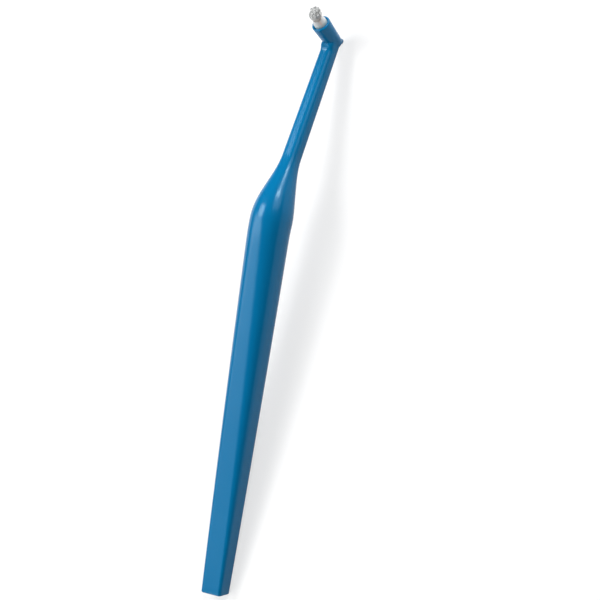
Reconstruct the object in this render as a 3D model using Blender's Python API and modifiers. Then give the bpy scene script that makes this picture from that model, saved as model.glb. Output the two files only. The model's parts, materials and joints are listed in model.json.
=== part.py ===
"""Single tuft toothbrush: a moulded handle whose angled sleeve holds a push-in tip.

The brush lies on its back, tuft upwards. It is drawn in a frame of its own, the brush frame: x runs
up the grip's axis from the foot, y across, and z to the front, the side that the tuft faces. The tip
is drawn in the sleeve's frame, with z out of the mouth along the bore and x to the sleeve's back.
Lengths are in metres.
"""
import math
import random

import bmesh
import bpy
import numpy as np
from mathutils import Vector

# Grip: a rounded rectangle at the foot that swells and rounds off to nearly a circle at its top.
# The foot is cut at a slant: its back is shorter than its front.
GRIP_LENGTH = 0.1019
FOOT_WIDTH = 0.0068
FOOT_DEPTH = 0.0045
FOOT_CORNER = 0.0009
FOOT_EDGE = 0.0004
FOOT_SLANT = 0.0007
MIDDLE_WIDTH = 0.0093
MIDDLE_DEPTH = 0.0077
MIDDLE_CORNER = 0.0028
TOP_WIDTH = 0.0116
TOP_DEPTH = 0.0112
TOP_CORNER = 0.0055

# Shoulder and neck: the body draws in to a slim rounded square and leans back from the tuft
SHOULDER_LENGTH = 0.0188
ROOT_WIDTH = 0.0049
ROOT_DEPTH = 0.0046
ROOT_CORNER = 0.0018
NECK_LENGTH = 0.0339
NECK_WIDTH = 0.0043
NECK_DEPTH = 0.0040
NECK_CORNER = 0.0016
FLARE_LENGTH = 0.0015
FLARE_HEIGHT = 0.0006
NECK_ANGLE = math.radians(17.8)
BEND_LENGTH = 0.0125
BEND_LEAD = 0.0051

# Sleeve: the short blind tube across the end of the neck, slimmer at its heel, with a spur there
SLEEVE_ANGLE = math.radians(76.1)
MOUTH_DIAMETER = 0.00523
HEEL_DIAMETER = 0.00454
SLEEVE_LENGTH = 0.0094
SLEEVE_REACH = 0.0078
MOUTH_EDGE = 0.00045
HEEL_EDGE = 0.0005
SPUR_DIAMETER = 0.0016
SPUR_LENGTH = 0.0015
SPUR_INSET = 0.0009
SPUR_ROOT = 0.0010
SPUR_EDGE = 0.0003

# Tip: a plug in the bore, with a collar that stands out of the mouth and narrows to the tuft
PLUG_DIAMETER = 0.0038
PLUG_LENGTH = 0.0064
PLUG_SINK = 0.0002
PLUG_EDGE = 0.0002
COLLAR_DIAMETER = 0.0037
COLLAR_BAND = 0.0006
COLLAR_RISE = 0.0021
RIM_DIAMETER = 0.0029
FIT_CLEARANCE = 0.00005
MOUTH_CHAMFER = 0.0001

# Tuft: strands in a round hole, folded round a metal plate that is pressed across it
TUFT_HOLE_DIAMETER = 0.0026
TUFT_HOLE_DEPTH = 0.0046
TUFT_RISE = 0.0034
TUFT_CROWN_DIAMETER = 0.0035
TUFT_DOME = 0.0012
TUFT_RAGGEDNESS = 0.0004
STRAND_DIAMETER = 0.0001
STRAND_SPACING = 0.00013
STRAND_SIDES = 3
FOLD_DEPTH = 0.0012
ANCHOR_WIDTH = 0.0030
ANCHOR_HEIGHT = 0.0011
ANCHOR_THICKNESS = 0.0003
ANCHOR_LIFT = 0.0004

# How finely round shapes are divided, how far a cutter runs past what it cuts, and what is welded
CORNER_STEPS = 6
EDGE_STEPS = 3
ROUND_STEPS = 40
GRIP_STATIONS = 12
SHOULDER_STATIONS = 14
NECK_STATIONS = 5
FLARE_STATIONS = 4
LEVEL_STEPS = 8
CUT_OVERRUN = 0.0010
WELD_DISTANCE = 0.0000001
SHARP_ANGLE = math.radians(35)


def new_collection(name):
    collection = bpy.data.collections.new(name)
    bpy.context.scene.collection.children.link(collection)
    return collection


def add_object(name, data, parent, collection):
    thing = bpy.data.objects.new(name, data)
    collection.objects.link(thing)
    thing.parent = parent
    if collection is helpers:
        thing.hide_render = True
        thing.display_type = "WIRE"
    return thing


def finish(thing, material_name, colour, roughness, metallic):
    """A piece's material, and smooth shading with its sharp edges kept."""
    material = bpy.data.materials.new(material_name)
    material.use_nodes = True
    surface = material.node_tree.nodes["Principled BSDF"]
    surface.inputs["Base Color"].default_value = (*colour, 1)
    surface.inputs["Roughness"].default_value = roughness
    surface.inputs["Metallic"].default_value = metallic
    thing.data.materials.append(material)
    thing.data.shade_smooth()
    thing.data.set_sharp_from_angle(angle=SHARP_ANGLE)


def combine(target, helper, operation):
    """Join a helper to a piece, or cut the piece with it."""
    step = target.modifiers.new(helper.name, "BOOLEAN")
    step.operation = operation
    step.object = helper
    step.solver = "EXACT"


def box_mesh(name, size):
    mesh = bmesh.new()
    bmesh.ops.create_cube(mesh, size=1)
    bmesh.ops.scale(mesh, vec=size, verts=mesh.verts)
    data = bpy.data.meshes.new(name)
    mesh.to_mesh(data)
    mesh.free()
    return data


def turned(name, outline, parent, collection):
    """A solid of revolution about z from an outline of radius and height, top to bottom."""
    points = [(radius, 0, height) for radius, height in outline]
    data = bpy.data.meshes.new(name)
    data.from_pydata(points, [(i, i + 1) for i in range(len(points) - 1)], [])
    thing = add_object(name, data, parent, collection)
    screw = thing.modifiers.new("turn", "SCREW")
    screw.axis = "Z"
    screw.angle = 2 * math.pi
    screw.steps = ROUND_STEPS
    screw.render_steps = ROUND_STEPS
    screw.use_merge_vertices = True
    screw.merge_threshold = WELD_DISTANCE
    return thing


def top_edge(radius, height, edge):
    """A quarter round from a flat top at the height out to a wall at the radius."""
    turns = [math.pi / 2 * (1 - step / EDGE_STEPS) for step in range(EDGE_STEPS + 1)]
    return [(radius - edge + edge * math.cos(t), height - edge + edge * math.sin(t)) for t in turns]


def bottom_edge(radius, height, edge):
    """The same under a wall, in to a flat bottom at the height."""
    turns = [math.pi / 2 * step / EDGE_STEPS for step in range(EDGE_STEPS + 1)]
    return [(radius - edge + edge * math.cos(t), height + edge - edge * math.sin(t)) for t in turns]


def spine(distance):
    """Where the handle's middle line is at a distance from the foot, and how far it has turned."""
    radius = BEND_LENGTH / NECK_ANGLE
    bend_start = GRIP_LENGTH - BEND_LEAD
    turn = min(max(distance - bend_start, 0), BEND_LENGTH) / radius
    past = max(distance - bend_start - BEND_LENGTH, 0)
    x = min(distance, bend_start) + radius * math.sin(turn) + past * math.cos(turn)
    z = -radius * (1 - math.cos(turn)) - past * math.sin(turn)
    return Vector((x, 0, z)), turn


def through(first, middle, last, share):
    """The quadratic through three evenly spaced sizes."""
    low = first * (1 - share) * (1 - 2 * share)
    high = last * share * (2 * share - 1)
    return low + middle * 4 * share * (1 - share) + high


def eased(first, last, share):
    return first + (last - first) * share * share * (3 - 2 * share)


def handle_sizes(distance):
    """Width, depth and corner radius of the handle at a distance from the foot."""
    foot = (FOOT_WIDTH, FOOT_DEPTH, FOOT_CORNER)
    middle = (MIDDLE_WIDTH, MIDDLE_DEPTH, MIDDLE_CORNER)
    top = (TOP_WIDTH, TOP_DEPTH, TOP_CORNER)
    root = (ROOT_WIDTH, ROOT_DEPTH, ROOT_CORNER)
    neck = (NECK_WIDTH, NECK_DEPTH, NECK_CORNER)
    if distance <= GRIP_LENGTH:
        share = distance / GRIP_LENGTH
        return [through(*sizes, share) for sizes in zip(foot, middle, top)]
    if distance <= SHOULDER_END:
        share = (distance - GRIP_LENGTH) / SHOULDER_LENGTH
        return [eased(*sizes, share) for sizes in zip(top, root)]
    share = (distance - SHOULDER_END) / NECK_LENGTH
    return [first + (last - first) * share for first, last in zip(root, neck)]


def rounded_rectangle(width, depth, corner):
    """Its outline round the origin, as pairs of across and front."""
    points = []
    for quarter, (side, front) in enumerate(((1, 1), (-1, 1), (-1, -1), (1, -1))):
        for step in range(CORNER_STEPS + 1):
            turn = math.pi / 2 * (quarter + step / CORNER_STEPS)
            across = side * (width / 2 - corner) + corner * math.cos(turn)
            points.append((across, front * (depth / 2 - corner) + corner * math.sin(turn)))
    return points


def handle_ring(distance, inset=0):
    """The handle's section at a distance from the foot, drawn in all round by the inset."""
    centre, turn = spine(distance)
    front = Vector((math.sin(turn), 0, math.cos(turn)))
    width, depth, corner = handle_sizes(distance)
    flare_share = min(max(distance - FLARE_START, 0) / FLARE_LENGTH, 1)
    flare = FLARE_HEIGHT * flare_share * flare_share
    centre += front * (flare / 2)
    depth += flare
    corner = min(corner, width / 2, depth / 2)
    slant = FOOT_SLANT * max(1 - distance / GRIP_LENGTH, 0)
    section = rounded_rectangle(width - 2 * inset, depth - 2 * inset, corner - inset)
    points = []
    for across, up in section:
        shorter = slant * (1 / 2 - up / depth)
        points.append(centre + front * up + Vector((shorter, across, 0)))
    return points


def handle_rings():
    """Sections from the rounded edge of the foot to the neck's end on the sleeve's axis."""
    edge = min(FOOT_EDGE, FOOT_CORNER / 2)
    turns = [math.pi / 2 * step / EDGE_STEPS for step in range(EDGE_STEPS)]
    rings = [handle_ring(edge * (1 - math.cos(t)), edge * (1 - math.sin(t))) for t in turns]
    stretches = (
        (edge, GRIP_LENGTH, GRIP_STATIONS),
        (GRIP_LENGTH, SHOULDER_END, SHOULDER_STATIONS),
        (SHOULDER_END, FLARE_START, NECK_STATIONS),
        (FLARE_START, FLARE_START + FLARE_LENGTH, FLARE_STATIONS),
    )
    for start, end, stations in stretches:
        rings += [handle_ring(start + (end - start) * i / stations) for i in range(stations)]
    rings += [handle_ring(FLARE_START + FLARE_LENGTH), handle_ring(NECK_END)]
    return rings


def handle_skin():
    """The grip, shoulder and neck as one closed skin through the sections."""
    mesh = bmesh.new()
    loops = [[mesh.verts.new(point) for point in ring] for ring in handle_rings()]
    for near, far in zip(loops, loops[1:]):
        for index in range(len(near)):
            after = (index + 1) % len(near)
            mesh.faces.new((near[index], near[after], far[after], far[index]))
    mesh.faces.new(reversed(loops[0]))
    mesh.faces.new(loops[-1])
    bmesh.ops.remove_doubles(mesh, verts=mesh.verts, dist=WELD_DISTANCE)
    bmesh.ops.recalc_face_normals(mesh, faces=mesh.faces)
    data = bpy.data.meshes.new("handle")
    mesh.to_mesh(data)
    mesh.free()
    return data


def make_sleeve():
    """The tube's outside, from the mouth at z = 0 down to the slimmer heel."""
    outline = [
        (0, 0),
        *top_edge(MOUTH_DIAMETER / 2, 0, MOUTH_EDGE),
        *bottom_edge(HEEL_DIAMETER / 2, -SLEEVE_LENGTH, HEEL_EDGE),
        (0, -SLEEVE_LENGTH),
    ]
    return turned("sleeve_body", outline, sleeve_axis, helpers)


def make_spur():
    """The small peg that points straight back from the far corner of the heel."""
    radius = SPUR_DIAMETER / 2
    outline = [
        (0, SPUR_ROOT),
        (radius, SPUR_ROOT),
        *bottom_edge(radius, -SPUR_LENGTH, SPUR_EDGE),
        (0, -SPUR_LENGTH),
    ]
    spur = turned("heel_spur", outline, brush_frame, helpers)
    back = Vector((math.cos(SLEEVE_LEAN), 0, -math.sin(SLEEVE_LEAN)))
    corner = mouth - outward * SLEEVE_LENGTH + back * (HEEL_DIAMETER / 2)
    spur.location = corner - Vector((SPUR_INSET, 0, 0))
    return spur


def make_bore():
    """The blind hole that the plug fills, with a chamfer at the mouth."""
    radius = PLUG_DIAMETER / 2 + FIT_CLEARANCE
    bottom = -PLUG_SINK - PLUG_LENGTH - FIT_CLEARANCE
    outline = [
        (0, CUT_OVERRUN),
        (radius + MOUTH_CHAMFER, CUT_OVERRUN),
        (radius + MOUTH_CHAMFER, 0),
        (radius, -MOUTH_CHAMFER),
        (radius, bottom),
        (0, bottom),
    ]
    return turned("tip_bore", outline, sleeve_axis, helpers)


def make_handle():
    handle = add_object("handle", handle_skin(), brush_frame, brush)
    finish(handle, "blue_plastic", (0.008, 0.165, 0.37), 0.28, 0)
    combine(handle, make_sleeve(), "UNION")
    combine(handle, make_spur(), "UNION")
    combine(handle, make_bore(), "DIFFERENCE")
    return handle


def make_holder():
    """The tip's moulding, turned: a conical collar over a plug, with the tuft's hole down it."""
    bottom = -PLUG_SINK - PLUG_LENGTH
    outline = [
        (0, COLLAR_RISE),
        (RIM_DIAMETER / 2, COLLAR_RISE),
        (COLLAR_DIAMETER / 2, COLLAR_BAND),
        (COLLAR_DIAMETER / 2, -PLUG_SINK),
        *top_edge(PLUG_DIAMETER / 2, -PLUG_SINK, PLUG_EDGE),
        *bottom_edge(PLUG_DIAMETER / 2, bottom, PLUG_EDGE),
        (0, bottom),
    ]
    holder = turned("tuft_holder", outline, sleeve_axis, brush)
    finish(holder, "white_plastic", (0.72, 0.72, 0.69), 0.4, 0)
    radius = TUFT_HOLE_DIAMETER / 2
    hole_top = COLLAR_RISE + CUT_OVERRUN
    hole_outline = [(0, hole_top), (radius, hole_top), (radius, HOLE_BOTTOM), (0, HOLE_BOTTOM)]
    combine(holder, turned("tuft_hole", hole_outline, sleeve_axis, helpers), "DIFFERENCE")
    pocket = [size + 2 * FIT_CLEARANCE for size in ANCHOR_SIZE]
    slot = add_object("anchor_slot", box_mesh("anchor_slot", pocket), sleeve_axis, helpers)
    slot.location = (0, 0, ANCHOR_MIDDLE)
    combine(holder, slot, "DIFFERENCE")
    return holder


def make_anchor():
    """The plate that pins the fold of the tuft, with its ends let into the holder's wall."""
    anchor = add_object("anchor_plate", box_mesh("anchor_plate", ANCHOR_SIZE), sleeve_axis, brush)
    anchor.location = (0, 0, ANCHOR_MIDDLE)
    finish(anchor, "brass", (0.62, 0.42, 0.16), 0.3, 1)
    return anchor


def strand_places():
    """Middles of the strands at the collar: a close triangular lattice, in rows beside the plate."""
    row_height = STRAND_SPACING * math.sqrt(3) / 2
    rows = math.ceil(STRAND_REACH / row_height)
    places = []
    for row in range(-rows, rows):
        for column in range(-rows, rows + 1):
            x = (row + 1 / 2) * row_height
            y = (column + (row % 2) / 2) * STRAND_SPACING
            if math.hypot(x, y) <= STRAND_REACH:
                places.append((x, y))
    return places


def add_strand(mesh, x, y, rise):
    """One strand: from beside the plate to its place at the collar, then out to the crown."""
    plate_side = ANCHOR_THICKNESS / 2 + STRAND_DIAMETER / 2 + 2 * FIT_CLEARANCE
    foot_x = math.copysign(plate_side + abs(x) * (1 - plate_side / STRAND_REACH), x)
    spread = 1 + (CROWN_REACH / STRAND_REACH - 1) * rise / (TUFT_RISE - TUFT_DOME)
    middles = (
        Vector((foot_x, y, FOLD_TOP - FIT_CLEARANCE)),
        Vector((x, y, COLLAR_RISE)),
        Vector((x * spread, y * spread, COLLAR_RISE + rise)),
    )
    turns = [2 * math.pi * side / STRAND_SIDES for side in range(STRAND_SIDES)]
    corners = [Vector((math.cos(t), math.sin(t), 0)) * (STRAND_DIAMETER / 2) for t in turns]
    rings = [[mesh.verts.new(middle + corner) for corner in corners] for middle in middles]
    for low, high in zip(rings, rings[1:]):
        for index in range(STRAND_SIDES):
            after = (index + 1) % STRAND_SIDES
            mesh.faces.new((low[index], low[after], high[after], high[index]))
    mesh.faces.new(reversed(rings[0]))
    mesh.faces.new(rings[-1])


def make_strands():
    """All the strands, each a separate prism until it is joined to the fold."""
    chance = random.Random(11)
    mesh = bmesh.new()
    for x, y in strand_places():
        dome = TUFT_DOME * (x * x + y * y) / (STRAND_REACH * STRAND_REACH)
        add_strand(mesh, x, y, TUFT_RISE - dome - TUFT_RAGGEDNESS * chance.random())
    data = bpy.data.meshes.new("strands")
    mesh.to_mesh(data)
    mesh.free()
    return add_object("strands", data, sleeve_axis, helpers)


def make_tuft():
    """The fold of the tuft round the plate, as one slice, with every strand rising out of it."""
    radius = TUFT_HOLE_DIAMETER / 2 - FIT_CLEARANCE
    bottom = HOLE_BOTTOM + FIT_CLEARANCE
    outline = [(0, FOLD_TOP), (radius, FOLD_TOP), (radius, bottom), (0, bottom)]
    tuft = turned("bristle_tuft", outline, sleeve_axis, brush)
    finish(tuft, "white_nylon", (0.75, 0.76, 0.74), 0.5, 0)
    groove_size = (ANCHOR_THICKNESS + 2 * FIT_CLEARANCE, TUFT_HOLE_DIAMETER, TUFT_HOLE_DEPTH)
    groove = add_object("fold_groove", box_mesh("fold_groove", groove_size), sleeve_axis, helpers)
    groove.location = (0, 0, ANCHOR_BOTTOM - FIT_CLEARANCE + TUFT_HOLE_DEPTH / 2)
    combine(tuft, groove, "DIFFERENCE")
    combine(tuft, make_strands(), "UNION")
    return tuft


def made_points(things, frame):
    """Every corner of the finished pieces, in the given object's frame."""
    bpy.context.view_layer.update()
    graph = bpy.context.evaluated_depsgraph_get()
    inverse = frame.matrix_world.inverted()
    points = []
    for thing in things:
        made = thing.evaluated_get(graph)
        points += [inverse @ made.matrix_world @ vertex.co for vertex in made.data.vertices]
    return np.array(points)


def resting_pitch(points):
    """The turn about y that brings the foot and the heel down onto one level."""
    head = points[:, 0] > (points[:, 0].min() + points[:, 0].max()) / 2
    pitch = 0
    for _ in range(LEVEL_STEPS):
        x = points[:, 0] * math.cos(pitch) + points[:, 2] * math.sin(pitch)
        z = points[:, 2] * math.cos(pitch) - points[:, 0] * math.sin(pitch)
        low_head = np.argmin(np.where(head, z, np.inf))
        low_foot = np.argmin(np.where(head, np.inf, z))
        pitch += math.atan((z[low_head] - z[low_foot]) / (x[low_head] - x[low_foot]))
    return pitch


# Places that follow from the sizes, in the brush frame and then in the sleeve's
SHOULDER_END = GRIP_LENGTH + SHOULDER_LENGTH
NECK_END = SHOULDER_END + NECK_LENGTH
FLARE_START = NECK_END - HEEL_DIAMETER / 2 - FLARE_LENGTH
SLEEVE_LEAN = math.pi / 2 - SLEEVE_ANGLE + NECK_ANGLE
HOLE_BOTTOM = COLLAR_RISE - TUFT_HOLE_DEPTH
FOLD_TOP = HOLE_BOTTOM + FOLD_DEPTH
ANCHOR_BOTTOM = HOLE_BOTTOM + ANCHOR_LIFT
ANCHOR_MIDDLE = ANCHOR_BOTTOM + ANCHOR_HEIGHT / 2
ANCHOR_SIZE = (ANCHOR_THICKNESS, ANCHOR_WIDTH, ANCHOR_HEIGHT)
STRAND_REACH = TUFT_HOLE_DIAMETER / 2 - STRAND_DIAMETER / 2 - FIT_CLEARANCE
CROWN_REACH = (TUFT_CROWN_DIAMETER - STRAND_DIAMETER) / 2
outward = Vector((math.sin(SLEEVE_LEAN), 0, math.cos(SLEEVE_LEAN)))
mouth = spine(NECK_END)[0] + outward * SLEEVE_REACH

for old in list(bpy.data.objects):
    bpy.data.objects.remove(old)

brush = new_collection("single_tuft_toothbrush")
helpers = new_collection("helpers")
brush_frame = add_object("brush_frame", None, None, brush)
sleeve_axis = add_object("sleeve_axis", None, brush_frame, brush)
sleeve_axis.rotation_euler = (0, SLEEVE_LEAN, 0)
sleeve_axis.location = mouth

pieces = [make_handle(), make_holder(), make_anchor(), make_tuft()]

brush_frame.rotation_euler = (0, resting_pitch(made_points(pieces, brush_frame)), 0)
lowest = made_points(pieces, brush_frame) @ np.array(brush_frame.matrix_world.to_3x3()).T
highest = lowest.max(axis=0)
lowest = lowest.min(axis=0)
brush_frame.location = (-(lowest[0] + highest[0]) / 2, -(lowest[1] + highest[1]) / 2, -lowest[2])
bpy.context.view_layer.update()

rest = brush_frame.matrix_world
print("strands in the tuft:", len(strand_places()))
print("pitch at rest, in degrees:", round(math.degrees(brush_frame.rotation_euler.y), 4))
print("middle of the mouth:", [round(value, 7) for value in rest @ mouth])
print("way out of the bore:", [round(value, 7) for value in rest.to_3x3() @ outward])
foot_middle = rest @ Vector((FOOT_SLANT / 2, 0, 0))
foot_outward = rest.to_3x3() @ Vector((-FOOT_DEPTH, 0, -FOOT_SLANT)).normalized()
print("middle of the foot's end face:", [round(value, 7) for value in foot_middle])
print("way out of that face:", [round(value, 7) for value in foot_outward])
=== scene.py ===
import json
import math
import random

import bmesh
import bpy
from mathutils import Matrix, Quaternion, Vector


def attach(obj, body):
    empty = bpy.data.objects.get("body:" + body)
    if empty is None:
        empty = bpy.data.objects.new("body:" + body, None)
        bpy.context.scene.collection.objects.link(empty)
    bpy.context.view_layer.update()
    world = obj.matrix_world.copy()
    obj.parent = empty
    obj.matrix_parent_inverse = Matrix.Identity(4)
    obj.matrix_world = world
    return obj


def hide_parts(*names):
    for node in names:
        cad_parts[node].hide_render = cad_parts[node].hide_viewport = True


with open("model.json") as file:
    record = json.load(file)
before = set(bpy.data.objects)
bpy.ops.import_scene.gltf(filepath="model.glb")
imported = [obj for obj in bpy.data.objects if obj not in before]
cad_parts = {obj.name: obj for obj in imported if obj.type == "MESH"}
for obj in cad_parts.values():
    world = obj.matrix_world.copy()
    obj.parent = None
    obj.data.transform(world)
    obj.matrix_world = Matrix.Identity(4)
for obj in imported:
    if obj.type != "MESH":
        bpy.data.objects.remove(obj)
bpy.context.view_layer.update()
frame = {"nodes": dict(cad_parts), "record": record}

# Camera: a long lens high over the brush's side, which looks down on the corner between the front
# and one flank of the grip. It is rolled until the head is at the top of the picture.
CAMERA_PLACE = Vector((-0.030719, -0.563075, 0.759698))
CAMERA_AIM = Vector((0.00303, 0, -0.006917))
CAMERA_ROLL = math.radians(-74.804)
CAMERA_LENS = 209.4
CAMERA_SENSOR = 36
CAMERA_NEAR = 0.01
CAMERA_FAR = 20

camera_data = bpy.data.cameras.new("camera")
camera_data.sensor_width = CAMERA_SENSOR
camera_data.lens = CAMERA_LENS
camera_data.clip_start = CAMERA_NEAR
camera_data.clip_end = CAMERA_FAR
camera = bpy.data.objects.new("camera", camera_data)
bpy.context.scene.collection.objects.link(camera)
camera.location = CAMERA_PLACE
camera.rotation_mode = "QUATERNION"
towards_camera = (CAMERA_PLACE - CAMERA_AIM).to_track_quat("Z", "Y")
camera.rotation_quaternion = towards_camera @ Quaternion((0, 0, 1), CAMERA_ROLL)
bpy.context.scene.camera = camera
bpy.context.scene.view_settings.view_transform = "Standard"


# Studio: a plain pale table in a dim room with one window, which is behind the brush. Soft lamps
# stand beside the window, past the brush's foot and past its head, and all of them face the brush.

# Outputs of the Texture Coordinate node and of the Light Path node
ROOM_DIRECTION, MESH_POINT = 0, 3
CAMERA_RAY, GLOSSY_RAY, TRANSMISSION_RAY = 0, 3, 6


class Value:
    """A number or colour that runs between shader nodes. Numbers can be used in plain sums."""

    def __init__(self, finish, socket):
        self.finish = finish
        self.socket = socket

    def __add__(self, other):
        return self.finish.maths("ADD", self, other)

    def __radd__(self, other):
        return self.finish.maths("ADD", other, self)

    def __sub__(self, other):
        return self.finish.maths("SUBTRACT", self, other)

    def __rsub__(self, other):
        return self.finish.maths("SUBTRACT", other, self)

    def __mul__(self, other):
        return self.finish.maths("MULTIPLY", self, other)

    def __rmul__(self, other):
        return self.finish.maths("MULTIPLY", other, self)

    def __abs__(self):
        return self.finish.maths("ABSOLUTE", self)


class Finish:
    """A node tree that is being wired up for a material or for the room."""

    def __init__(self, tree):
        self.tree = tree
        tree.nodes.clear()

    def node(self, kind, settings, inputs):
        """One node: its settings first, then its sockets. Returns its outputs in their order."""
        made = self.tree.nodes.new(kind)
        for name, setting in settings.items():
            setattr(made, name, setting)
        for name, given in inputs.items():
            socket = made.inputs[name]
            if isinstance(given, Value):
                self.tree.links.new(given.socket, socket)
            elif socket.type == "RGBA":
                socket.default_value = (*given, 1)
            else:
                socket.default_value = given
        return [Value(self, socket) for socket in made.outputs]

    def maths(self, operation, *terms):
        """One sum on numbers that run between nodes."""
        return self.node("ShaderNodeMath", {"operation": operation}, dict(enumerate(terms)))[0]

    def mix(self, share, first, second):
        """A colour between two, by a share: the Mix node's inputs 0, 6 and 7, and its output 2."""
        inputs = {0: share, 6: first, 7: second}
        return self.node("ShaderNodeMix", {"data_type": "RGBA", "clamp_factor": True}, inputs)[2]

    def coordinates(self, kind):
        """The point of a mesh that is being shaded, or the direction that the room is seen in."""
        return self.node("ShaderNodeTexCoord", {}, {})[kind]

    def place_in(self, piece_frame):
        """The point being shaded, in metres in the frame that the piece was drawn in."""
        inputs = {
            "Vector": self.coordinates(MESH_POINT),
            "Location": piece_frame.to_translation(),
            "Rotation": piece_frame.to_euler(),
        }
        return self.node("ShaderNodeMapping", {"vector_type": "TEXTURE"}, inputs)[0]

    def parts(self, place):
        """The x, y and z of a place."""
        return self.node("ShaderNodeSeparateXYZ", {}, {0: place})

    def noise(self, place, scale, detail):
        """Cloudy noise from 0 to 1; the scale is in clouds per metre."""
        inputs = {"Vector": place, "Scale": scale, "Detail": detail}
        return self.node("ShaderNodeTexNoise", {}, inputs)[0]

    def long_noise(self, place, along, across, detail):
        """The same with clouds drawn out: so many per metre along the piece's x and across it."""
        inputs = {0: place, 1: (along, across, across)}
        scaled = self.node("ShaderNodeVectorMath", {"operation": "MULTIPLY"}, inputs)[0]
        return self.noise(scaled, 1, detail)

    def between(self, value, low, high):
        """0 below the low value, 1 above the high one, and a smooth rise between them."""
        inputs = {"Value": value, "From Min": low, "From Max": high}
        return self.node("ShaderNodeMapRange", {"interpolation_type": "SMOOTHSTEP"}, inputs)[0]

    def bump(self, height, strength, depth):
        """A surface that rises and falls by the depth, in metres, with a height from 0 to 1."""
        inputs = {"Strength": strength, "Distance": depth, "Height": height}
        return self.node("ShaderNodeBump", {}, inputs)[0]

    def surface(self, inputs):
        """The shader of plastic, metal and paper, with its sockets given by name."""
        return self.node("ShaderNodeBsdfPrincipled", {}, inputs)[0]

    def show(self, shader):
        """Makes a shader the one that the material shows."""
        self.node("ShaderNodeOutputMaterial", {}, {"Surface": shader})


def new_finish(name):
    """A new material, and the node tree that is to be wired up for it."""
    material = bpy.data.materials.new(name)
    material.use_nodes = True
    return material, Finish(material.node_tree)


WHITE = (1.0, 1.0, 1.0)
TABLE_SIDE = 8
TABLE_COLOUR = (0.38, 0.38, 0.38)
TABLE_GLOW = 0.61
TABLE_ROUGHNESS = 0.8
TABLE_SHINE = 0.1
PAPER_FIBRES = (900, 4.0)
PAPER_BUMP = (0.05, 0.0002)
ROOM_DIM = 0.03
ROOM_PALE = 0.92
WINDOW_BRIGHT = 5.4
WINDOW_LEFT_DIM = 0.6
# Each pair is where one edge in the room starts to fade and where it has faded
ROOM_HORIZON = (0.03, 0.10)
WINDOW_FOOT = (0.38, 0.70)
WINDOW_TOP = (1.12, 1.21)
WINDOW_SLANT = 0.895
WINDOW_RIGHT = (0.02, 0.20)
WINDOW_LEFT = (-0.26, -0.12)
WINDOW_FAR_LEFT = (-0.70, -0.50)
# Each lamp's lead towards the head and its rise from behind the brush, over it and to its near
# side, both in degrees, then its distance and its two sides in metres, and its brightness
LAMPS = (
    ("window_core", 16, 56, 0.8, (0.24, 0.24), 13.0),
    ("foot_lamp", -46, 58, 1.4, (0.70, 0.70), 5.6),
    ("head_lamp", 46, 122, 1.1, (0.15, 0.38), 23.0),
    ("head_screen", 38, 133, 1.0, (0.46, 0.66), 2.6),
    ("key_lamp", 72, 88, 0.7, (0.32, 0.32), 7.2),
)


def make_table():
    """Pale paper that keeps shadows, and glows for the camera and in reflections."""
    half = TABLE_SIDE / 2
    corners = [(-half, -half, 0), (half, -half, 0), (half, half, 0), (-half, half, 0)]
    data = bpy.data.meshes.new("table")
    data.from_pydata(corners, [], [(0, 1, 2, 3)])
    table = bpy.data.objects.new("table", data)
    bpy.context.scene.collection.objects.link(table)
    material, paint = new_finish("table_paper")
    fibres = paint.noise(paint.coordinates(MESH_POINT), *PAPER_FIBRES)
    paper = paint.surface({
        "Base Color": TABLE_COLOUR,
        "Roughness": TABLE_ROUGHNESS,
        "Specular IOR Level": TABLE_SHINE,
        "Normal": paint.bump(fibres, *PAPER_BUMP),
    })
    ray = paint.node("ShaderNodeLightPath", {}, {})
    seen = ray[CAMERA_RAY] + ray[GLOSSY_RAY] + ray[TRANSMISSION_RAY]
    inputs = {"Color": WHITE, "Strength": seen * TABLE_GLOW}
    glow = paint.node("ShaderNodeEmission", {}, inputs)[0]
    paint.show(paint.node("ShaderNodeAddShader", {}, {0: paper, 1: glow})[0])
    data.materials.append(material)


def make_room():
    """The room and its window: x leads to the head, and the rise goes round x from behind."""
    world = bpy.data.worlds.new("room")
    world.use_nodes = True
    bpy.context.scene.world = world
    paint = Finish(world.node_tree)
    x, y, z = paint.parts(paint.coordinates(ROOM_DIRECTION))
    level = ROOM_DIM + (ROOM_PALE - ROOM_DIM) * (1 - paint.between(z, *ROOM_HORIZON))
    rise = paint.maths("ARCTAN2", z, y)
    window = paint.between(rise, *WINDOW_FOOT)
    window = window * (1 - paint.between(rise + x * WINDOW_SLANT, *WINDOW_TOP))
    window = window * (1 - paint.between(x, *WINDOW_RIGHT))
    day = WINDOW_LEFT_DIM * paint.between(x, *WINDOW_FAR_LEFT)
    day = day + (WINDOW_BRIGHT - WINDOW_LEFT_DIM) * paint.between(x, *WINDOW_LEFT)
    inputs = {"Color": WHITE, "Strength": level + window * day}
    light = paint.node("ShaderNodeBackground", {}, inputs)[0]
    paint.node("ShaderNodeOutputWorld", {}, {"Surface": light})


def add_lamp(name, lead, rise, distance, sides, brightness):
    """A soft rectangular lamp; the brightness is that of its face, whatever its size."""
    lead, rise = math.radians(lead), math.radians(rise)
    ahead_y, ahead_z = -math.sin(lead) * math.cos(rise), -math.sin(lead) * math.sin(rise)
    ahead = Vector((math.cos(lead), ahead_y, ahead_z))
    around = Vector((0, math.sin(rise), -math.cos(rise)))
    away = ahead.cross(around)
    facing = Matrix((ahead, around, away)).transposed().to_4x4()
    data = bpy.data.lights.new(name, "AREA")
    data.shape = "RECTANGLE"
    data.size, data.size_y = sides
    data.energy = brightness * math.pi * sides[0] * sides[1]
    lamp = bpy.data.objects.new(name, data)
    bpy.context.scene.collection.objects.link(lamp)
    lamp.matrix_world = Matrix.Translation(away * distance) @ facing
    lamp.visible_camera = False


make_table()
make_room()
for lamp_row in LAMPS:
    add_lamp(*lamp_row)


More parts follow.
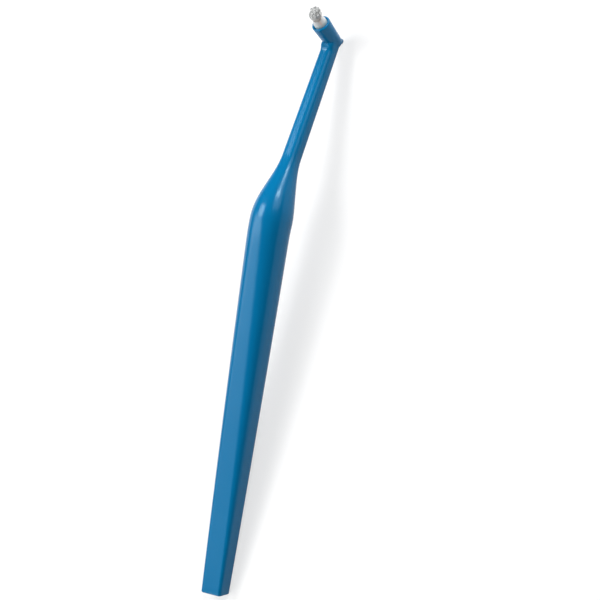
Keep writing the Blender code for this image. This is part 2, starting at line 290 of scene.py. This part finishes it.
# Handle: one injection moulding of blue polypropylene. It is a rounded bar at the foot, swells to
# nearly a round shaft, and draws in to a slim neck with a short blind tube across its end, which
# holds the tip. A small spur stands at the tube's heel.
GRIP_LENGTH = 0.1019
# Sizes are the width, the depth and the corner radius of the handle's section
FOOT_SIZES = (0.0068, 0.0045, 0.0009)
MIDDLE_SIZES = (0.0093, 0.0077, 0.0028)
TOP_SIZES = (0.0116, 0.0112, 0.0055)
FOOT_EDGE = 0.0004
FOOT_SLANT = 0.0007
SHOULDER_LENGTH = 0.0188
ROOT_SIZES = (0.0049, 0.0046, 0.0018)
NECK_LENGTH = 0.0339
NECK_SIZES = (0.0043, 0.0040, 0.0016)
FLARE_LENGTH = 0.0015
FLARE_HEIGHT = 0.0006
NECK_ANGLE = math.radians(17.8)
BEND_LENGTH = 0.0125
BEND_LEAD = 0.0051
SLEEVE_ANGLE = math.radians(76.1)
MOUTH_DIAMETER = 0.00523
HEEL_DIAMETER = 0.00454
SLEEVE_LENGTH = 0.0094
SLEEVE_REACH = 0.0078
MOUTH_EDGE = 0.00045
HEEL_EDGE = 0.0005
SPUR_DIAMETER = 0.0016
SPUR_LENGTH = 0.0015
SPUR_INSET = 0.0009
SPUR_ROOT = 0.0010
SPUR_EDGE = 0.0003
BORE_DIAMETER = 0.0039
BORE_DEPTH = 0.00665
MOUTH_CHAMFER = 0.0001

FOOT_RINGS = 6
GRIP_RINGS = 60
SHOULDER_RINGS = 48
NECK_RINGS = 30
FLARE_RINGS = 10
CORNER_STEPS = 14
ROUND_STEPS = 96
EDGE_STEPS = 6
SHARP_ANGLE = math.radians(35)
CUT_OVERRUN = 0.0010
WELD_DISTANCE = 0.0000001

SHOULDER_END = GRIP_LENGTH + SHOULDER_LENGTH
NECK_END = SHOULDER_END + NECK_LENGTH
FLARE_START = NECK_END - HEEL_DIAMETER / 2 - FLARE_LENGTH
FLARE_END = FLARE_START + FLARE_LENGTH
SLEEVE_LEAN = math.pi / 2 - SLEEVE_ANGLE + NECK_ANGLE

# The foot's slanting end face, which the record names, gives where the brush lies and how it tilts
foot = frame["record"]["mounts"][0]
foot_inward = -Vector(foot["axis"])
brush_tilt = math.atan2(-foot_inward.z, foot_inward.x) + math.atan2(FOOT_SLANT, FOOT_SIZES[1])
brush_place = Matrix.Translation(foot["pos_m"]) @ Matrix.Rotation(brush_tilt, 4, "Y")
brush_place = brush_place @ Matrix.Translation((-FOOT_SLANT / 2, 0, 0))


def spine(distance):
    """Where the handle's middle line is at a distance from the foot, and how far it has turned."""
    radius = BEND_LENGTH / NECK_ANGLE
    bend_start = GRIP_LENGTH - BEND_LEAD
    turn = min(max(distance - bend_start, 0), BEND_LENGTH) / radius
    past = max(distance - bend_start - BEND_LENGTH, 0)
    x = min(distance, bend_start) + radius * math.sin(turn) + past * math.cos(turn)
    z = -radius * (1 - math.cos(turn)) - past * math.sin(turn)
    return Vector((x, 0, z)), turn


def through(first, middle, last, share):
    """The quadratic through three evenly spaced sizes."""
    low = first * (1 - share) * (1 - 2 * share)
    high = last * share * (2 * share - 1)
    return low + middle * 4 * share * (1 - share) + high


def handle_sizes(distance):
    """Width, depth and corner radius of the handle at a distance from the foot."""
    if distance <= GRIP_LENGTH:
        share = distance / GRIP_LENGTH
        return [through(*sizes, share) for sizes in zip(FOOT_SIZES, MIDDLE_SIZES, TOP_SIZES)]
    if distance <= SHOULDER_END:
        share = (distance - GRIP_LENGTH) / SHOULDER_LENGTH
        share = share * share * (3 - 2 * share)
        return [first + (last - first) * share for first, last in zip(TOP_SIZES, ROOT_SIZES)]
    share = (distance - SHOULDER_END) / NECK_LENGTH
    return [first + (last - first) * share for first, last in zip(ROOT_SIZES, NECK_SIZES)]


def handle_ring(distance, inset=0):
    """The handle's section at a distance from the foot, drawn in all round by the inset."""
    centre, turn = spine(distance)
    front = Vector((math.sin(turn), 0, math.cos(turn)))
    width, depth, corner = handle_sizes(distance)
    flare = FLARE_HEIGHT * min(max(distance - FLARE_START, 0) / FLARE_LENGTH, 1) ** 2
    centre += front * (flare / 2)
    depth += flare
    corner = min(corner, width / 2, depth / 2) - inset
    slant = FOOT_SLANT * max(1 - distance / GRIP_LENGTH, 0)
    half_width = width / 2 - inset - corner
    half_depth = depth / 2 - inset - corner
    ring = []
    for quarter, (side, up) in enumerate(((1, 1), (-1, 1), (-1, -1), (1, -1))):
        for step in range(CORNER_STEPS + 1):
            angle = math.pi / 2 * (quarter + step / CORNER_STEPS)
            across = side * half_width + corner * math.cos(angle)
            above = up * half_depth + corner * math.sin(angle)
            shorter = slant * (1 / 2 - above / depth)
            ring.append(centre + front * above + Vector((shorter, across, 0)))
    return ring


def spaced(start, end, count):
    """So many evenly spaced values from the start, with the end left to what follows."""
    return [start + (end - start) * step / count for step in range(count)]


def add_piece(name, mesh, place):
    """A new object from a mesh that is being built, at a place in the world."""
    data = bpy.data.meshes.new(name)
    mesh.to_mesh(data)
    mesh.free()
    data.transform(place)
    piece = bpy.data.objects.new(name, data)
    bpy.context.scene.collection.objects.link(piece)
    return piece


def handle_skin():
    """The grip, shoulder and neck as one closed skin from the rounded foot to the tube's axis."""
    rings = []
    for turn in spaced(0, math.pi / 2, FOOT_RINGS):
        distance, inset = FOOT_EDGE * (1 - math.cos(turn)), FOOT_EDGE * (1 - math.sin(turn))
        rings.append(handle_ring(distance, inset))
    stations = spaced(FOOT_EDGE, GRIP_LENGTH, GRIP_RINGS)
    stations += spaced(GRIP_LENGTH, SHOULDER_END, SHOULDER_RINGS)
    stations += spaced(SHOULDER_END, FLARE_START, NECK_RINGS)
    stations += spaced(FLARE_START, FLARE_END, FLARE_RINGS)
    stations += [FLARE_END, NECK_END]
    rings += [handle_ring(distance) for distance in stations]
    mesh = bmesh.new()
    loops = [[mesh.verts.new(point) for point in ring] for ring in rings]
    for near, far in zip(loops, loops[1:]):
        for index in range(len(near)):
            after = (index + 1) % len(near)
            mesh.faces.new((near[index], near[after], far[after], far[index]))
    mesh.faces.new(reversed(loops[0]))
    mesh.faces.new(loops[-1])
    bmesh.ops.remove_doubles(mesh, verts=mesh.verts, dist=WELD_DISTANCE)
    bmesh.ops.recalc_face_normals(mesh, faces=mesh.faces)
    return add_piece("brush_handle", mesh, brush_place)


def turned(name, outline, place):
    """A solid of revolution about z; its outline of radius and height starts and ends on z."""
    mesh = bmesh.new()
    loops = []
    for radius, height in outline:
        count = ROUND_STEPS if radius > 0 else 1
        angles = [2 * math.pi * step / count for step in range(count)]
        corners = [(radius * math.cos(a), radius * math.sin(a), height) for a in angles]
        loops.append([mesh.verts.new(corner) for corner in corners])
    for upper, lower in zip(loops, loops[1:]):
        for index in range(ROUND_STEPS):
            after = (index + 1) % ROUND_STEPS
            corners = [upper[index % len(upper)], lower[index % len(lower)]]
            corners += [lower[after % len(lower)], upper[after % len(upper)]]
            mesh.faces.new(list(dict.fromkeys(corners)))
    bmesh.ops.recalc_face_normals(mesh, faces=mesh.faces)
    return add_piece(name, mesh, place)


def top_edge(radius, height, edge):
    """A quarter round from a flat top at the height out to a wall at the radius."""
    turns = [math.pi / 2 * (1 - step / EDGE_STEPS) for step in range(EDGE_STEPS + 1)]
    return [(radius - edge + edge * math.cos(t), height - edge + edge * math.sin(t)) for t in turns]


def bottom_edge(radius, height, edge):
    """The same under a wall, in to a flat bottom at the height."""
    turns = [math.pi / 2 * step / EDGE_STEPS for step in range(EDGE_STEPS + 1)]
    return [(radius - edge + edge * math.cos(t), height + edge - edge * math.sin(t)) for t in turns]


def combine(piece, tool, operation):
    """Joins a tool to a piece or cuts the piece with it, and keeps only the result."""
    step = piece.modifiers.new(tool.name, "BOOLEAN")
    step.operation = operation
    step.object = tool
    step.solver = "EXACT"
    bpy.context.view_layer.update()
    graph = bpy.context.evaluated_depsgraph_get()
    made = bpy.data.meshes.new_from_object(piece.evaluated_get(graph))
    piece.modifiers.clear()
    piece.data = made
    bpy.data.objects.remove(tool)


def smooth(piece):
    """Shades a piece as round, apart from its sharp edges."""
    piece.data.shade_smooth()
    piece.data.set_sharp_from_angle(angle=SHARP_ANGLE)


def dress(piece, material, body, node):
    """A piece's finish, the body that it rides on, and the node that it stands for."""
    piece.data.materials.clear()
    piece.data.materials.append(material)
    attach(piece, body)
    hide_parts(node)


outward = Vector((math.sin(SLEEVE_LEAN), 0, math.cos(SLEEVE_LEAN)))
mouth = spine(NECK_END)[0] + outward * SLEEVE_REACH
sleeve_place = brush_place @ Matrix.Translation(mouth) @ Matrix.Rotation(SLEEVE_LEAN, 4, "Y")


def make_handle():
    """The skin with the tube and the spur joined to it, and the bore cut down from the mouth."""
    handle = handle_skin()
    sleeve_outline = [
        (0, 0),
        *top_edge(MOUTH_DIAMETER / 2, 0, MOUTH_EDGE),
        *bottom_edge(HEEL_DIAMETER / 2, -SLEEVE_LENGTH, HEEL_EDGE),
        (0, -SLEEVE_LENGTH),
    ]
    combine(handle, turned("sleeve_body", sleeve_outline, sleeve_place), "UNION")
    spur_radius = SPUR_DIAMETER / 2
    spur_outline = [
        (0, SPUR_ROOT),
        (spur_radius, SPUR_ROOT),
        *bottom_edge(spur_radius, -SPUR_LENGTH, SPUR_EDGE),
        (0, -SPUR_LENGTH),
    ]
    back = Vector((math.cos(SLEEVE_LEAN), 0, -math.sin(SLEEVE_LEAN)))
    heel = mouth - outward * SLEEVE_LENGTH + back * (HEEL_DIAMETER / 2)
    spur_place = brush_place @ Matrix.Translation(heel - Vector((SPUR_INSET, 0, 0)))
    combine(handle, turned("spur", spur_outline, spur_place), "UNION")
    bore_radius = BORE_DIAMETER / 2
    bore_outline = [
        (0, CUT_OVERRUN),
        (bore_radius + MOUTH_CHAMFER, CUT_OVERRUN),
        (bore_radius + MOUTH_CHAMFER, 0),
        (bore_radius, -MOUTH_CHAMFER),
        (bore_radius, -BORE_DEPTH),
        (0, -BORE_DEPTH),
    ]
    combine(handle, turned("bore", bore_outline, sleeve_place), "DIFFERENCE")
    smooth(handle)
    return handle


BLUE = (0.001, 0.152, 0.342)
BLUE_DEEP = (0.001, 0.140, 0.320)
BLUE_SCUFFED = (0.05, 0.19, 0.35)
BLUE_SHEEN = (0.62, 0.88, 1.0)
BLUE_SHINE = 0.3
# Here and below, a pattern is given as its clouds per metre, or first those along the piece and
# then those across it, and its detail. A bump is given as its strength and its depth. Any other
# pair is where something starts to show and where it shows in full, or the other way round.
BLUE_CLOUDS = (110, 3.0)
BLUE_CLOUDS_SHARE = 0.6
BLUE_FLOW = (30, 520, 3.0)
BLUE_FLOW_SHARE = 0.4
BLUE_PEEL = (700, 1.0)
BLUE_PEEL_HEIGHT = 0.5
BLUE_GRAIN = (5200, 2.0)
BLUE_GRAIN_HEIGHT = 0.12
BLUE_BUMP = (0.12, 0.0001)
BLUE_GLOSS = (160, 3.0)
BLUE_ROUGHNESS = 0.15
BLUE_ROUGHNESS_RISE = 0.10
MARKS = (160, 6500, 2.0)
MARKS_EDGE = (0.66, 0.74)
MARKS_PATCHES = (260, 3.0)
MARKS_PATCHES_EDGE = (0.45, 0.62)
MARKS_DEPTH = 0.10
MARKS_ROUGHNESS = 0.10
SCUFFS = (2400, 4.0)
SCUFFS_EDGE = (0.42, 0.62)
SCUFFS_REACH = (0.0, 0.0011)
SCUFFS_SHARE = 0.35
SCUFFS_ROUGHNESS = 0.2


def blue_finish():
    """Smooth glossy plastic with faint flow lines, fine handling marks and scuffs at its foot."""
    material, paint = new_finish("blue_polypropylene")
    place = paint.place_in(brush_place)
    clouds = paint.noise(place, *BLUE_CLOUDS) * BLUE_CLOUDS_SHARE
    flow = paint.long_noise(place, *BLUE_FLOW) * BLUE_FLOW_SHARE
    colour = paint.mix(clouds + flow, BLUE_DEEP, BLUE)
    patches = paint.between(paint.noise(place, *MARKS_PATCHES), *MARKS_PATCHES_EDGE)
    marks = paint.between(paint.long_noise(place, *MARKS), *MARKS_EDGE) * patches
    foot_end = 1 - paint.between(paint.parts(place)[0], *SCUFFS_REACH)
    scuffs = foot_end * paint.between(paint.noise(place, *SCUFFS), *SCUFFS_EDGE)
    colour = paint.mix(scuffs * SCUFFS_SHARE, colour, BLUE_SCUFFED)
    roughness = paint.noise(place, *BLUE_GLOSS) * BLUE_ROUGHNESS_RISE + BLUE_ROUGHNESS
    roughness = roughness + marks * MARKS_ROUGHNESS + scuffs * SCUFFS_ROUGHNESS
    peel = paint.noise(place, *BLUE_PEEL) * BLUE_PEEL_HEIGHT
    grain = paint.noise(place, *BLUE_GRAIN) * BLUE_GRAIN_HEIGHT
    paint.show(paint.surface({
        "Base Color": colour,
        "Roughness": roughness,
        "Specular IOR Level": BLUE_SHINE,
        "Specular Tint": BLUE_SHEEN,
        "Normal": paint.bump(peel + grain - marks * MARKS_DEPTH, *BLUE_BUMP),
    }))
    return material


dress(make_handle(), blue_finish(), "brush_body", "handle")


# Tuft holder: a small round moulding of natural nylon. Its plug is pressed into the bore, and its
# collar stands out of the mouth and narrows to the rim of the tuft's round hole.
PLUG_DIAMETER = 0.0038
PLUG_LENGTH = 0.0064
PLUG_SINK = 0.0002
PLUG_EDGE = 0.0002
COLLAR_DIAMETER = 0.0037
COLLAR_BAND = 0.0006
COLLAR_RISE = 0.0021
RIM_DIAMETER = 0.0029
RIM_EDGE = 0.00005
TUFT_HOLE_DIAMETER = 0.0026
TUFT_HOLE_DEPTH = 0.0046
ANCHOR_SIZE = (0.0003, 0.0030, 0.0011)
ANCHOR_LIFT = 0.0004
FIT_CLEARANCE = 0.00005
HOLE_BOTTOM = COLLAR_RISE - TUFT_HOLE_DEPTH
ANCHOR_MIDDLE = HOLE_BOTTOM + ANCHOR_LIFT + ANCHOR_SIZE[2] / 2


def make_holder():
    """Plug, collar and tuft hole, turned as one, with a slot across the hole for the anchor."""
    bottom = -PLUG_SINK - PLUG_LENGTH
    hole_radius = TUFT_HOLE_DIAMETER / 2
    outline = [
        (0, HOLE_BOTTOM),
        (hole_radius, HOLE_BOTTOM),
        (hole_radius, COLLAR_RISE - RIM_EDGE),
        (hole_radius + RIM_EDGE, COLLAR_RISE),
        *top_edge(RIM_DIAMETER / 2, COLLAR_RISE, RIM_EDGE),
        (COLLAR_DIAMETER / 2, COLLAR_BAND),
        (COLLAR_DIAMETER / 2, -PLUG_SINK),
        *top_edge(PLUG_DIAMETER / 2, -PLUG_SINK, PLUG_EDGE),
        *bottom_edge(PLUG_DIAMETER / 2, bottom, PLUG_EDGE),
        (0, bottom),
    ]
    holder = turned("tip_holder", outline, sleeve_place)
    slot_size = [size + 2 * FIT_CLEARANCE for size in ANCHOR_SIZE]
    mesh = bmesh.new()
    bmesh.ops.create_cube(mesh, size=1)
    bmesh.ops.scale(mesh, vec=slot_size, verts=mesh.verts)
    slot = add_piece("slot", mesh, sleeve_place @ Matrix.Translation((0, 0, ANCHOR_MIDDLE)))
    combine(holder, slot, "DIFFERENCE")
    smooth(holder)
    return holder


NYLON_DULL = (0.65, 0.665, 0.67)
NYLON_CLEAR = (0.72, 0.735, 0.74)
NYLON_CLOUDS = (700, 3.0)
NYLON_GRAIN = (9000, 2.0)
NYLON_BUMP = (0.15, 0.00005)
NYLON_GLOSS = (1500, 2.0)
NYLON_ROUGHNESS = 0.32
NYLON_ROUGHNESS_RISE = 0.15
# Painted warm light in a thin band up one side of the collar, from the mouth, and the x and y of
# the way across it
WARM_LIGHT_COLOUR = (0.76, 0.60, 0.52)
WARM_LIGHT_SHARE = 0.7
WARM_LIGHT_ACROSS = (0.81, -0.58)
WARM_LIGHT_WIDTH = (0.0001, 0.0005)
WARM_LIGHT_SIDE = (-0.001, 0.0)
WARM_LIGHT_FOOT = (-0.0004, 0.0004)
# Painted reflection of the blue mouth on the band of nylon that stands in it and just above it
MOUTH_REFLECTION_COLOUR = (0.26, 0.47, 0.54)
MOUTH_REFLECTION_SHARE = 0.6
MOUTH_REFLECTION_TOP = (0.0001, 0.0011)
MOUTH_REFLECTION_FOOT = (-0.0016, -0.0001)


def holder_finish():
    """Faintly cloudy whitish nylon, with a thin band of painted warm light and a painted reflection
    of the blue mouth round its collar.
    """
    material, paint = new_finish("natural_nylon")
    place = paint.place_in(sleeve_place)
    x, y, height = paint.parts(place)
    colour = paint.mix(paint.noise(place, *NYLON_CLOUDS), NYLON_DULL, NYLON_CLEAR)
    # Painted warm light: a thin band up one side of the collar, above the mouth
    beside = abs(x * WARM_LIGHT_ACROSS[0] + y * WARM_LIGHT_ACROSS[1])
    warm_light = 1 - paint.between(beside, *WARM_LIGHT_WIDTH)
    warm_light = warm_light * (1 - paint.between(x + y, *WARM_LIGHT_SIDE))
    warm_light = warm_light * paint.between(height, *WARM_LIGHT_FOOT)
    colour = paint.mix(warm_light * WARM_LIGHT_SHARE, colour, WARM_LIGHT_COLOUR)
    # Painted reflection of the blue mouth on the nylon just in and above it
    painted_mouth_reflection = (1 - paint.between(height, *MOUTH_REFLECTION_TOP)) * paint.between(height, *MOUTH_REFLECTION_FOOT)
    colour = paint.mix(painted_mouth_reflection * MOUTH_REFLECTION_SHARE, colour, MOUTH_REFLECTION_COLOUR)
    roughness = paint.noise(place, *NYLON_GLOSS) * NYLON_ROUGHNESS_RISE + NYLON_ROUGHNESS
    paint.show(paint.surface({
        "Base Color": colour,
        "Roughness": roughness,
        "Normal": paint.bump(paint.noise(place, *NYLON_GRAIN), *NYLON_BUMP),
    }))
    return material


dress(make_holder(), holder_finish(), "tip", "tuft_holder")


# Anchor: a bit of brass strip, chopped off and driven across the hole to pin the folded tuft. The
# CAD's plate has the right shape, so it stays and only gets its finish.
BRASS = (0.72, 0.50, 0.20)
BRASS_TARNISHED = (0.42, 0.27, 0.10)
BRASS_DRAWN = (2000, 14000, 3.0)
BRASS_BUMP = (0.3, 0.00002)
BRASS_ROUGHNESS = 0.22
TARNISH = (2600, 4.0)
TARNISH_EDGE = (0.45, 0.7)
TARNISH_SHARE = 0.6
TARNISH_ROUGHNESS = 0.25


def brass_finish():
    """Drawn brass, tarnished in patches."""
    material, paint = new_finish("cut_brass")
    place = paint.place_in(sleeve_place)
    tarnish = paint.between(paint.noise(place, *TARNISH), *TARNISH_EDGE)
    paint.show(paint.surface({
        "Base Color": paint.mix(tarnish * TARNISH_SHARE, BRASS, BRASS_TARNISHED),
        "Metallic": 1.0,
        "Roughness": tarnish * TARNISH_ROUGHNESS + BRASS_ROUGHNESS,
        "Normal": paint.bump(paint.long_noise(place, *BRASS_DRAWN), *BRASS_BUMP),
    }))
    return material


anchor = frame["nodes"]["anchor_plate"]
anchor.data.materials.clear()
anchor.data.materials.append(brass_finish())


# Tuft: nylon filaments with rounded ends, folded in half round the anchor plate and packed into the
# holder's hole, so that about 370 strands stand in it. They splay from its rim and gather in little
# clumps, which end in a crown of blunt teeth.
STRAND_DIAMETER = 0.000115
STRAND_SIDES = 7
STRAND_STEPS = 9
STRAND_SPACING = 0.000118
STRAND_REACH = TUFT_HOLE_DIAMETER / 2 - STRAND_DIAMETER / 2 - FIT_CLEARANCE
STRAND_SWAY = 0.00004
TIP_DIAMETER = 0.00015
# The tip's rounding: rings past the strand's end, and their width, in shares of the tip's diameter
TIP_ROUND = ((0.30, 0.8), (0.47, 0.4))
FOLD_DEPTH = 0.0012
TUFT_RISE = 0.0034
TUFT_DOME = 0.0008
TUFT_LEAN = (0.0002, -0.0004)
TUFT_LEAN_CURVE = 2
CROWN_REACH = 0.00197
CROWN_FAN_CURVE = 0.75
CLUMP_PULL = 0.38
CLUMP_PULL_CURVE = 4
# How much shorter a strand may be, and how much of that is its clump's cut and how much its own
RAGGEDNESS = 0.0006
CLUMP_CUT_SHARE = 0.8
STRAND_CUT_SHARE = 0.2
# The crown's teeth: where each stands round it in degrees, how far it splays and how much it is cut
TEETH = (
    (25, 1.06, 0.0),
    (61, 1.10, 0.0),
    (97, 0.95, 0.4),
    (133, 1.02, 0.2),
    (169, 0.96, 0.5),
    (205, 0.99, 0.5),
    (241, 0.96, 0.7),
    (277, 1.10, 1.0),
    (313, 0.92, 0.2),
    (349, 0.98, 0.1),
)
TOOTH_RING_SHARE = 0.84
# Rings of clumps inside the teeth: how far out each ring is, and how many clumps stand in it
INNER_CLUMPS = ((0.46, 5), (0, 1))
INNER_CLUMP_SHIFT = 0.3
TUFT_SEED = 23


def strand_middles(x, y, rise, sway, clump):
    """Points up the middle of one strand, from beside the plate to its tip."""
    clump_x, clump_y, reach = clump[:3]
    plate_side = ANCHOR_SIZE[0] / 2 + STRAND_DIAMETER / 2 + 2 * FIT_CLEARANCE
    foot_x = math.copysign(plate_side + abs(x) * (1 - plate_side / STRAND_REACH), x)
    points = [Vector((foot_x, y, HOLE_BOTTOM + FOLD_DEPTH - FIT_CLEARANCE))]
    points.append(Vector((x, y, COLLAR_RISE - 2 * RIM_EDGE)))
    for step in range(1, STRAND_STEPS + 1):
        share = step / STRAND_STEPS
        height = rise * share
        splay = min(height / (TUFT_RISE - TUFT_DOME), 1)
        fan = 1 + (CROWN_REACH * reach / STRAND_REACH - 1) * splay ** CROWN_FAN_CURVE
        pull = CLUMP_PULL * share ** CLUMP_PULL_CURVE
        middle = Vector((x + (clump_x - x) * pull, y + (clump_y - y) * pull, 0)) * fan
        middle += (sway + Vector((*TUFT_LEAN, 0))) * share ** TUFT_LEAN_CURVE
        points.append(middle + Vector((0, 0, COLLAR_RISE + height)))
    return points


def add_strand(mesh, middles):
    """A round filament along the points, closed below and with a rounded tip."""
    along = (middles[-1] - middles[-2]).normalized()
    tip = TIP_DIAMETER / STRAND_DIAMETER
    swell = (tip - 1) / (len(middles) - 1)
    sections = [(middle, 1 + swell * index) for index, middle in enumerate(middles)]
    for past, width in TIP_ROUND:
        sections.append((middles[-1] + along * TIP_DIAMETER * past, width * tip))
    rings = []
    for middle, share in sections:
        ring = []
        for side in range(STRAND_SIDES):
            turn = 2 * math.pi * side / STRAND_SIDES
            corner = Vector((math.cos(turn), math.sin(turn), 0)) * (STRAND_DIAMETER / 2 * share)
            ring.append(mesh.verts.new(middle + corner))
        rings.append(ring)
    for low, high in zip(rings, rings[1:]):
        for index in range(STRAND_SIDES):
            after = (index + 1) % STRAND_SIDES
            mesh.faces.new((low[index], low[after], high[after], high[index]))
    mesh.faces.new(reversed(rings[0]))
    mesh.faces.new(rings[-1])


def strand_places():
    """Middles of the strands at the collar: a close triangular lattice."""
    row_height = STRAND_SPACING * math.sqrt(3) / 2
    rows = math.ceil(STRAND_REACH / row_height)
    places = []
    for row in range(-rows, rows):
        for column in range(-rows, rows + 1):
            x = (row + 1 / 2) * row_height
            y = (column + (row % 2) / 2) * STRAND_SPACING
            if math.hypot(x, y) <= STRAND_REACH:
                places.append((x, y))
    return places


def clump_at(share, angle, reach, cut):
    """A clump's middle at the collar, how far it splays and how much it is cut."""
    radius = STRAND_REACH * share
    return radius * math.cos(angle), radius * math.sin(angle), reach, cut


def make_tuft():
    """All the strands as one piece, each drawn towards the tooth or inner clump that it is near."""
    chance = random.Random(TUFT_SEED)
    clumps = []
    for degrees, reach, cut in TEETH:
        clumps.append(clump_at(TOOTH_RING_SHARE, math.radians(degrees), reach, cut))
    for share, count in INNER_CLUMPS:
        for index in range(count):
            angle = 2 * math.pi * (index + INNER_CLUMP_SHIFT * chance.random()) / count
            clumps.append(clump_at(share, angle, 1, chance.random()))
    mesh = bmesh.new()
    for x, y in strand_places():
        clump = min(clumps, key=lambda place: math.hypot(place[0] - x, place[1] - y))
        dome = TUFT_DOME * (x * x + y * y) / (STRAND_REACH * STRAND_REACH)
        cut = CLUMP_CUT_SHARE * clump[3] + STRAND_CUT_SHARE * chance.random()
        rise = TUFT_RISE - dome - RAGGEDNESS * cut
        sway = Vector((chance.uniform(-1, 1), chance.uniform(-1, 1), 0)) * STRAND_SWAY
        add_strand(mesh, strand_middles(x, y, rise, sway, clump))
    tuft = add_piece("tuft_filaments", mesh, sleeve_place)
    smooth(tuft)
    return tuft


FILAMENT_DULL = (0.80, 0.81, 0.80)
FILAMENT_CLEAR = (0.90, 0.91, 0.90)
FILAMENT_STREAKS = (4200, 2.0)
FILAMENT_ROUGHNESS = 0.35
FILAMENT_ROUGHNESS_RISE = 0.1
# Painted light: the tuft is warmer and paler low down
ROOT_LIGHT_COLOUR = (0.94, 0.88, 0.84)
ROOT_LIGHT_TOP = (0.0026, 0.0042)
# Painted shade: the tuft turns grey towards its tips
CROWN_SHADE_COLOUR = (0.66, 0.67, 0.67)
CROWN_SHADE_SHARE = 0.9
CROWN_SHADE_FOOT = (0.0036, 0.0050)


def filament_finish():
    """Streaky white nylon; painted light makes it warmer and paler low on the tuft, and painted
    shade greys it towards its tips.
    """
    material, paint = new_finish("filament_nylon")
    place = paint.place_in(sleeve_place)
    height = paint.parts(place)[2]
    streaks = paint.noise(place, *FILAMENT_STREAKS)
    colour = paint.mix(streaks, FILAMENT_DULL, FILAMENT_CLEAR)
    # Painted shade: greyer towards the tips
    crown_shade = paint.between(height, *CROWN_SHADE_FOOT)
    colour = paint.mix(crown_shade * CROWN_SHADE_SHARE, colour, CROWN_SHADE_COLOUR)
    # Painted light: warmer and paler low on the tuft
    root_light = 1 - paint.between(height, *ROOT_LIGHT_TOP)
    colour = paint.mix(root_light, colour, ROOT_LIGHT_COLOUR)
    paint.show(paint.surface({
        "Base Color": colour,
        "Roughness": streaks * FILAMENT_ROUGHNESS_RISE + FILAMENT_ROUGHNESS,
    }))
    return material


dress(make_tuft(), filament_finish(), "tip", "bristle_tuft")
